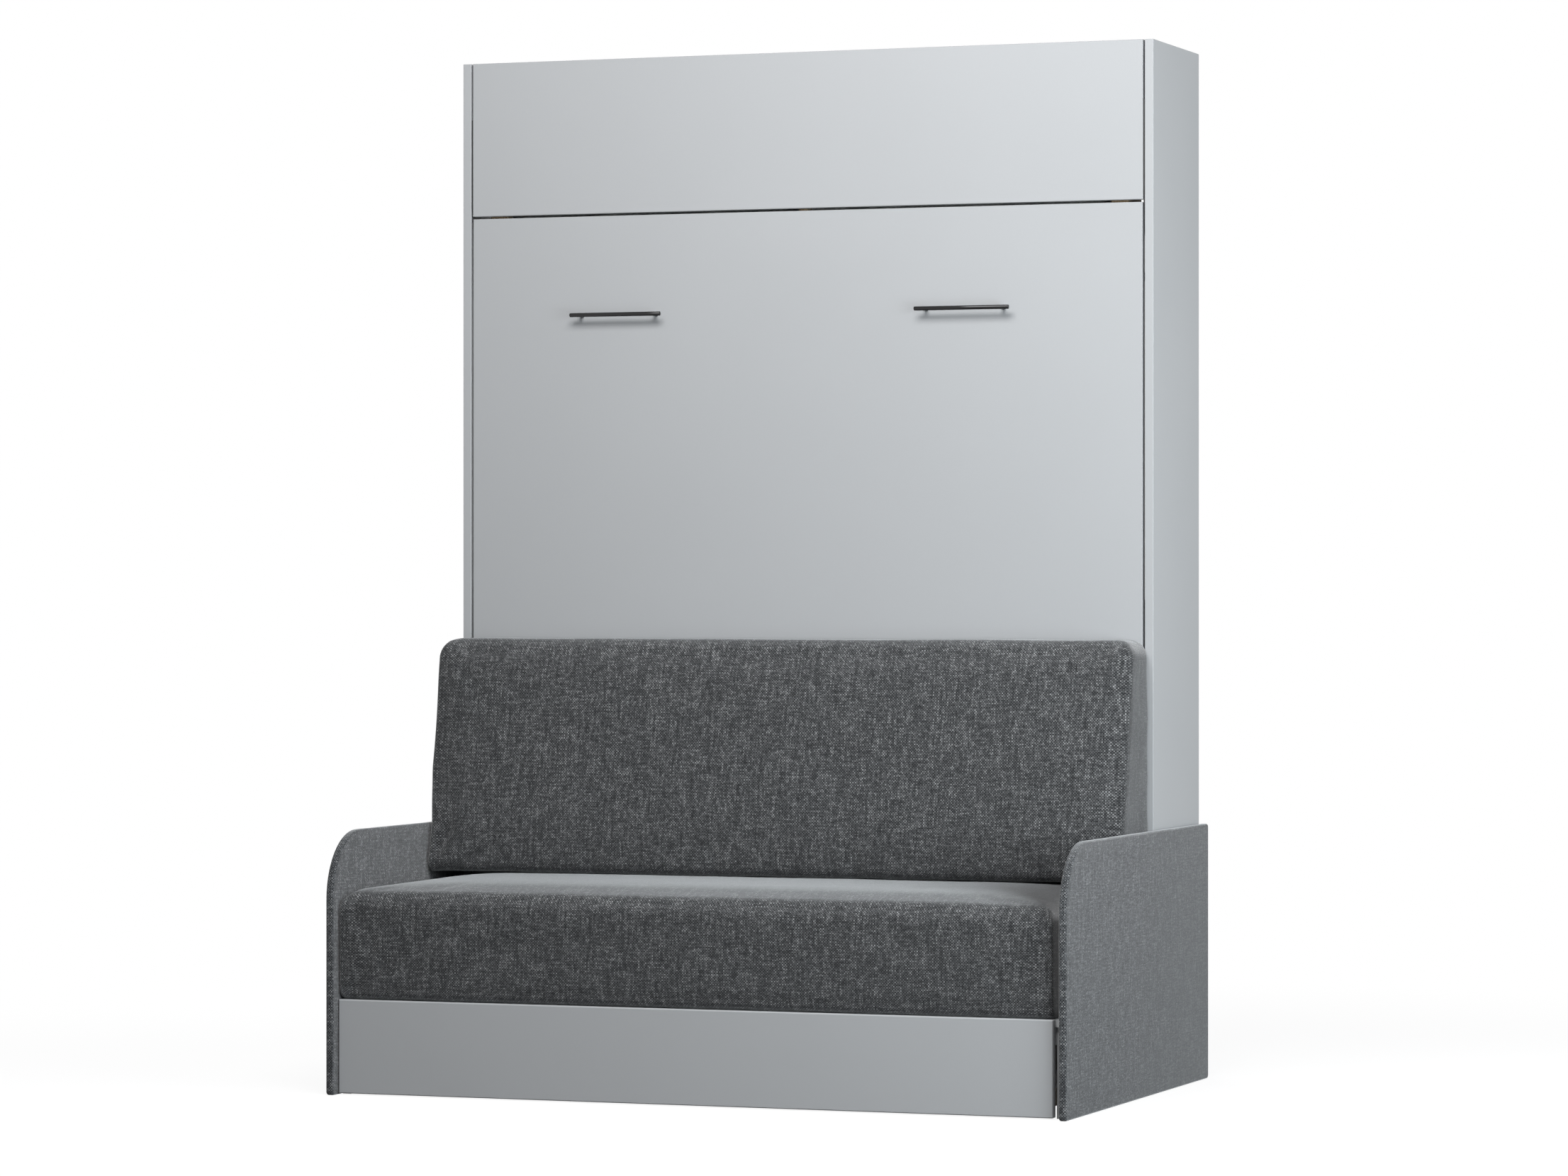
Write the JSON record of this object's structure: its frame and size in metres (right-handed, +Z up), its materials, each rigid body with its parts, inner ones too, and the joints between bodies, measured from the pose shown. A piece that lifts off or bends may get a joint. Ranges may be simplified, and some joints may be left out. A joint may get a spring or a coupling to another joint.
{
  "type": "wall bed with sofa",
  "caption": "Vertical wall bed folded up behind light grey fronts, with an upholstered sofa in front of it and a drawer under the seat.",
  "frame": {"origin": "on the floor, under the middle of the whole part's width and depth", "axes": "+X to the right of someone facing the sofa, +Y towards the wall, +Z up"},
  "size_m": [1.596, 1.0132, 2.183],
  "materials": {
    "grey_board": "matt light grey lacquered board",
    "frame_wood": "plain sanded board and plywood",
    "slat_wood": "bent beech, clear lacquer",
    "dark_linen": "coarse dark grey flecked weave",
    "arm_linen": "fine grey weave stretched over board",
    "ticking": "white quilted knit",
    "webbing": "woven grey webbing",
    "rubber": "matt black",
    "chrome": "polished",
    "zinc": "zinc plated",
    "black_steel": "black satin paint"
  },
  "bodies": {
    "cabinet": {"side_panel_left": "grey_board", "side_panel_right": "grey_board", "top_panel": "grey_board", "front_rail": "grey_board", "back_rail_low": "grey_board", "back_rail_middle": "grey_board", "back_rail_top": "grey_board", "wall_bracket_left": "zinc", "wall_bracket_right": "zinc", "closing_bumper_left": "rubber", "closing_bumper_right": "rubber", "pivot_plate_left": "zinc", "pivot_plate_right": "zinc", "spring_stud_left": "zinc", "spring_stud_right": "zinc", "sofa_arm_left": "arm_linen", "sofa_arm_right": "arm_linen", "base_side_left": "frame_wood", "base_side_right": "frame_wood", "base_back": "frame_wood", "deck_rail": "frame_wood", "seat_deck": "frame_wood", "runner_channel_left": "zinc", "runner_channel_right": "zinc", "seat_cushion": "dark_linen"},
    "bed": {"door_panel": "grey_board", "side_rail_left": "frame_wood", "side_rail_right": "frame_wood", "head_rail": "frame_wood", "foot_rail": "frame_wood", "slat_base": "slat_wood", "centre_beam": "frame_wood", "mattress": "ticking", "mattress_strap_head": "webbing", "mattress_strap_foot": "webbing", "pull_handle_left": "chrome", "pull_handle_right": "chrome", "bed_bracket_left": "black_steel", "bed_bracket_right": "black_steel", "leg_pin_left": "zinc", "leg_pin_right": "zinc"},
    "support_leg": {"leg_panel": "grey_board", "leg_arm_left": "zinc", "leg_arm_right": "zinc"},
    "back_cushion": {"back_cushion": "dark_linen"},
    "drawer": {"drawer_front": "grey_board", "drawer_side_left": "frame_wood", "drawer_side_right": "frame_wood", "drawer_back": "frame_wood", "drawer_bottom": "frame_wood", "runner_bar_left": "zinc", "runner_bar_right": "zinc"},
    "spring_tube_left": {"spring_tube_left": "black_steel"},
    "spring_tube_right": {"spring_tube_right": "black_steel"},
    "spring_rod_left": {"spring_rod_left": "chrome"},
    "spring_rod_right": {"spring_rod_right": "chrome"}
  },
  "joints": [
    {"name": "bed_fold", "type": "hinge", "parent": "cabinet", "child": "bed", "pos_m": [0, 0.18335, 0.482], "axis": [1, 0, 0], "range_deg": [0, 90]},
    {"name": "leg_fold", "type": "hinge", "parent": "bed", "child": "support_leg", "pos_m": [0, 0.19335, 1.692], "axis": [1, 0, 0], "range_deg": [0, 90]},
    {"name": "back_cushion_off", "type": "hinge", "parent": "cabinet", "child": "back_cushion", "pos_m": [0, -0.66295, -0.4325], "axis": [1, 0, 0], "range_deg": [0, 101]},
    {"name": "drawer_slide", "type": "slide", "parent": "cabinet", "child": "drawer", "axis": [0, -1, 0], "range_m": [0, 0.43]},
    {"name": "spring_swing_left", "type": "hinge", "parent": "cabinet", "child": "spring_tube_left", "pos_m": [-0.742, 0.35335, 1.1], "axis": [1, 0, 0], "range_deg": [0, 12.6]},
    {"name": "spring_swing_right", "type": "hinge", "parent": "cabinet", "child": "spring_tube_right", "pos_m": [0.742, 0.35335, 1.1], "axis": [1, 0, 0], "range_deg": [0, 12.6]},
    {"name": "spring_stroke_left", "type": "slide", "parent": "spring_tube_left", "child": "spring_rod_left", "axis": [0, 0.1302, 0.9915], "range_m": [0, 0.285]},
    {"name": "spring_stroke_right", "type": "slide", "parent": "spring_tube_right", "child": "spring_rod_right", "axis": [0, 0.1302, 0.9915], "range_m": [0, 0.285]}
  ],
  "couplings": [
    {"joint": "leg_fold", "follows": "bed_fold", "ratio": 1},
    {"joint": "back_cushion_off", "follows": "bed_fold", "ratio": 1.1222},
    {"joint": "spring_swing_left", "follows": "bed_fold", "ratio": 0.13998},
    {"joint": "spring_swing_right", "follows": "bed_fold", "ratio": 0.13998},
    {"joint": "spring_stroke_left", "follows": "bed_fold", "m_per_rad": 0.18141},
    {"joint": "spring_stroke_right", "follows": "bed_fold", "m_per_rad": 0.18141}
  ]
}
